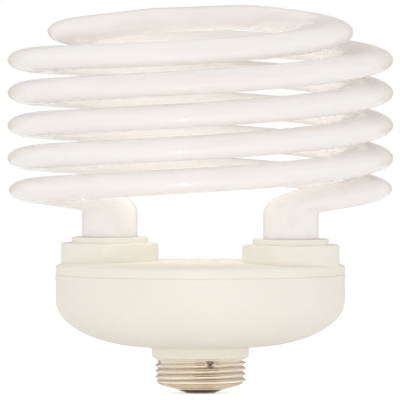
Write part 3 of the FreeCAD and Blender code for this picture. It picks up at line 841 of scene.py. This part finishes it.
def plastic_finish(size):
    """Cream moulding with a fine spark texture, faint flow and a painted warm glow on the plate round the
    axis, which stands for light.
    """
    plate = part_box("upper_cover")[1].z - size.tower_height

    def build(tree):
        place = object_place(tree)
        axes = parts_of(tree, place)
        flow = noise(tree, stretched(tree, place, 1, 1, 0.5), 28, 3.0, 0.5, 0.6)
        mottle = noise(tree, place, 420, 3.0)
        spark = noise(tree, place, 3800, 2.0, 0.6)
        near_painted_glow = eased_step(tree, from_axis(tree, axes), size.painted_glow_core, size.painted_glow_reach, 1.0, 0.0)
        on_plate = eased_step(tree, axes["Z"], plate + size.painted_glow_low, plate + size.painted_glow_high, 1.0, 0.0)
        share = calc(tree, "ADD", product(tree, flow, 0.8), product(tree, mottle, 0.2))
        body = stops(tree, share, (0.35, size.flow), (0.6, size.plastic))
        return {
            # Painted light: the plate round the axis is warmer and brighter
            "Base_Color": between(tree, product(tree, near_painted_glow, on_plate, 0.7), body, size.painted_glow),
            "Roughness": stops(tree, mottle, (0.3, grey(0.40)), (0.7, grey(0.50))),
            "Normal": bumped(tree, spark, 0.10, 0.06 * MM),
        }

    return finish("cream_moulding", build, Specular_IOR_Level=0.35)


class LAMP_OT_mouldings(Operator):
    """Finishes the housing, its cover and the two collars"""

    bl_idname = "lamp.mouldings"
    bl_label = "Mouldings"
    bl_options = {"REGISTER", "UNDO"}

    def execute(self, context):
        material = plastic_finish(context.scene.lamp_plastic)
        dress(["lower_housing", "upper_cover", "tube_holder_right", "tube_holder_left"], material)
        return {"FINISHED"}


def mottled(name, light, dark, scale, rough, depth, metalness, **sockets):
    """A finish with two tones, an uneven gloss and a grain six times as fine."""

    def build(tree):
        place = object_place(tree)
        patch = noise(tree, place, scale, 4.0, 0.6)
        fine = noise(tree, place, scale * 6.0, 3.0)
        return {
            "Base_Color": stops(tree, patch, (0.35, dark), (0.65, light)),
            "Roughness": stops(tree, fine, (0.3, grey(rough * 0.85)), (0.7, grey(rough * 1.15))),
            "Normal": bumped(tree, fine, 0.25, depth),
        }

    return finish(name, build, Metallic=metalness, **sockets)


class LAMP_OT_base_fittings(Operator):
    """Finishes the centre contact and the glass insulator round it"""

    bl_idname = "lamp.base_fittings"
    bl_label = "Base Fittings"
    bl_options = {"REGISTER", "UNDO"}

    def execute(self, context):
        solder = mottled("soldered_contact", *SOLDER_WITH_PAINTED_SHADE)
        glass = mottled("black_glass", *BLACK_GLASS, Specular_IOR_Level=0.3)
        dress(["centre_contact"], solder)
        dress(["insulator"], glass)
        return {"FINISHED"}


class LAMP_OT_ballast(Operator):
    """Finishes the parts inside the housing"""

    bl_idname = "lamp.ballast"
    bl_label = "Ballast"
    bl_options = {"REGISTER", "UNDO"}

    def execute(self, context):
        finishes = {name: mottled(name, *values) for name, values in BALLAST_FINISHES.items()}
        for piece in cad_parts.values():
            for slot in piece.material_slots:
                if slot.material.name in finishes:
                    slot.material = finishes[slot.material.name]
        return {"FINISHED"}


# The stage

def facing(tree, way, turn):
    """Share from 0 behind the lamp to 1 in front of it, turned to the right about the axis."""
    front = Vector((math.sin(turn), -math.cos(turn), 0.0))
    along = node(tree, "ShaderNodeVectorMath", {0: way, 1: front}, operation="DOT_PRODUCT").outputs["Value"]
    return node(tree, "ShaderNodeMapRange", {"Value": along, "From Min": -1.0}).outputs[0]


def studio_world(size):
    """A plain level of light; to the eye white; in reflections a backdrop, bright sides and a dim room."""
    world = bpy.data.worlds.new("studio")
    bpy.context.scene.world = world
    world.use_nodes = True
    tree = world.node_tree
    way = node(tree, "ShaderNodeTexCoord").outputs["Generated"]
    level_way = node(
        tree, "ShaderNodeVectorMath", {0: stretched(tree, way, 1, 1, 0)}, operation="NORMALIZE"
    ).outputs[0]
    backdrop = [(0.0, WHITE), (BACKDROP_END, WHITE), (EDGE_START, size.edge), (EDGE_END, size.edge)]
    behind = stops(tree, facing(tree, way, 0.0), *backdrop, (SIDES_START, WHITE))
    turned = facing(tree, level_way, size.dark_turn)
    ahead = stops(tree, turned, (SIDES_END, WHITE), (ROOM_START, size.room))
    rooms = between(tree, 1.0, behind, ahead, "MULTIPLY")
    height = parts_of(tree, way)["Z"]
    above = eased_step(tree, height, CEILING_START, CEILING_END, 1.0, 1.0 - size.ceiling)
    path = node(tree, "ShaderNodeLightPath").outputs
    sharp = calc(tree, "MAXIMUM", path["Is Glossy Ray"], path["Is Transmission Ray"])
    lit = node(tree, "ShaderNodeMapRange", {"Value": sharp, "To Min": size.sky, "To Max": above}).outputs[0]
    seen = path["Is Camera Ray"]
    level = node(tree, "ShaderNodeMapRange", {"Value": seen, "To Min": lit, "To Max": 1.0}).outputs[0]
    ground = tree.nodes["Background"]
    tree.links.new(between(tree, sharp, WHITE, rooms), ground.inputs["Color"])
    tree.links.new(level, ground.inputs["Strength"])


def floor_piece(size):
    """A round pale floor that is white to the eye but for the lamp's shadow, and that glows more under the
    lamp in reflections: painted light that fills the shadow there.
    """
    mesh = bpy.data.meshes.new("floor")
    shape = bmesh.new()
    bmesh.ops.create_circle(shape, cap_ends=True, segments=96, radius=size.floor_size)
    shape.to_mesh(mesh)
    shape.free()
    floor = bpy.data.objects.new("floor", mesh)
    bpy.context.scene.collection.objects.link(floor)
    material = bpy.data.materials.new("floor_paper")
    material.use_nodes = True
    tree = material.node_tree
    shader = tree.nodes["Principled BSDF"]
    shader.inputs["Roughness"].default_value = 0.9
    shader.inputs["Specular IOR Level"].default_value = 0.0
    place = object_place(tree)
    fibre = noise(tree, place, 900, 3.0)
    tree.links.new(stops(tree, fibre, (0.3, grey(0.88)), (0.7, grey(0.90))), shader.inputs["Base Color"])
    path = node(tree, "ShaderNodeLightPath").outputs
    glow = product(tree, path["Is Camera Ray"], size.floor_glow)
    away = node(tree, "ShaderNodeVectorMath", {0: place}, operation="LENGTH").outputs["Value"]
    # Painted light in reflections: the floor glows more under the lamp, which fills the lamp's shadow there
    inner, outer = size.under_radius, size.under_reach
    share = eased_step(tree, away, inner, outer, size.painted_under_glow, size.floor_mirrored)
    mirrored = product(tree, path["Is Glossy Ray"], share)
    shader.inputs["Emission Color"].default_value = (*WHITE, 1.0)
    tree.links.new(calc(tree, "ADD", glow, mirrored), shader.inputs["Emission Strength"])
    mesh.materials.append(material)


def lamp(name, light, place, power, tint=WHITE):
    """Places a light that the camera doesn't see."""
    light.energy = power
    light.color = tint
    piece = bpy.data.objects.new(name, light)
    piece.location = place
    piece.visible_camera = False
    bpy.context.scene.collection.objects.link(piece)
    return piece


def softbox(name, place, aim, width, height, power):
    """A rectangular light that points at a place."""
    light = bpy.data.lights.new(name, "AREA")
    light.shape = "RECTANGLE"
    light.size = width
    light.size_y = height
    piece = lamp(name, light, place, power)
    piece.rotation_euler = (Vector(aim) - Vector(place)).to_track_quat("-Z", "Y").to_euler()
    return piece


def softboxes(size):
    """The large softbox in front and the low one for the housing, which leave no glints."""
    front = softbox(
        "front_softbox", size.front_place, size.front_aim, size.front_width, size.front_height, size.front
    )
    low = softbox("low_softbox", size.low_place, size.low_aim, size.low_width, size.low_height, size.low)
    front.visible_glossy = low.visible_glossy = False


def glint_lamp(size):
    """The small lamp that leaves a glint on each turn."""
    glint = softbox(
        "glint_lamp", size.glint_place, size.glint_aim, size.glint_size, size.glint_size, size.glint
    )
    glint.visible_diffuse = False
    glint.data.spread = size.glint_spread


def inner_lamps(size):
    """Lamps inside the coil, which stand for the light that the milky tube lets through."""
    spot = bpy.data.lights.new("plate_lamp", "SPOT")
    spot.spot_size = size.plate_spread
    spot.spot_blend = 0.9
    spot.shadow_soft_size = size.plate_softness
    pieces = [lamp("plate_lamp", spot, (0.0, 0.0, size.plate_height), size.plate, size.plate_tint)]
    for index in range(size.cores):
        name = f"core_lamp_{index}"
        core = bpy.data.lights.new(name, "POINT")
        core.shadow_soft_size = size.core_radius
        height = size.core_low + index * size.core_step
        pieces.append(lamp(name, core, (0.0, 0.0, height), size.core, size.core_tint))
    for piece in pieces:
        piece.visible_glossy = False


def studio_camera(size):
    """A flat camera whose two slanted axes stretch the picture sideways, as the photograph is."""
    data = bpy.data.cameras.new("camera")
    data.type = "ORTHO"
    data.ortho_scale = size.view_scale
    data.clip_start = 0.01
    data.clip_end = 20.0
    camera = bpy.data.objects.new("camera", data)
    bpy.context.scene.collection.objects.link(camera)
    bpy.context.scene.camera = camera
    back = Vector((0.0, -math.cos(size.view_elevation), math.sin(size.view_elevation)))
    right = Vector((1.0, 0.0, 0.0))
    up = back.cross(right)
    across = size.view_width / size.view_scale
    upward = size.view_height / size.view_scale
    wide = right * across + back * math.sqrt(1 - across ** 2)
    tall = up * upward + back * math.sqrt(1 - upward ** 2)
    place = Vector((size.view_side, 0.0, size.view_centre)) + back * size.view_distance
    slant = Matrix((wide, tall, back)).transposed().to_4x4()
    slant.translation = place
    rig = bpy.data.objects.new("camera_rig", None)
    bpy.context.scene.collection.objects.link(rig)
    camera.parent = rig
    camera.matrix_parent_inverse = slant


class LAMP_OT_studio(Operator):
    """Sets the camera, the lights and the floor"""

    bl_idname = "lamp.studio"
    bl_label = "Studio"
    bl_options = {"REGISTER", "UNDO"}

    def execute(self, context):
        size = context.scene.lamp_stage
        studio_world(size)
        floor_piece(size)
        softboxes(size)
        inner_lamps(size)
        glint_lamp(size)
        studio_camera(size)
        context.scene.view_settings.view_transform = "Standard"
        return {"FINISHED"}


class LAMP_PT_panel(Panel):
    """Lists the lamp's build steps and their sizes"""

    bl_label = "Spiral Lamp"
    bl_idname = "LAMP_PT_panel"
    bl_space_type = "VIEW_3D"
    bl_region_type = "UI"
    bl_category = "Lamp"

    def draw(self, context):
        for step in STEPS:
            self.layout.operator(step.bl_idname)
        for name in SETTINGS:
            group = getattr(context.scene, name)
            box = self.layout.box()
            for key in group.__annotations__:
                box.prop(group, key)


SETTINGS = {
    "lamp_glass": LampGlassSettings,
    "lamp_shell": LampShellSettings,
    "lamp_plastic": LampPlasticSettings,
    "lamp_stage": LampStageSettings,
}
STEPS = [
    LAMP_OT_glass_spiral,
    LAMP_OT_screw_shell,
    LAMP_OT_mouldings,
    LAMP_OT_base_fittings,
    LAMP_OT_ballast,
    LAMP_OT_studio,
]


def register():
    for group in [*SETTINGS.values(), *STEPS, LAMP_PT_panel]:
        bpy.utils.register_class(group)
    for name, group in SETTINGS.items():
        setattr(bpy.types.Scene, name, PointerProperty(type=group))


def unregister():
    for name in SETTINGS:
        delattr(bpy.types.Scene, name)
    for group in [LAMP_PT_panel, *STEPS[::-1], *list(SETTINGS.values())[::-1]]:
        bpy.utils.unregister_class(group)


def main():
    register()
    for step in STEPS:
        family, name = step.bl_idname.split(".")
        getattr(getattr(bpy.ops, family), name)()


if __name__ == "__main__":
    main()
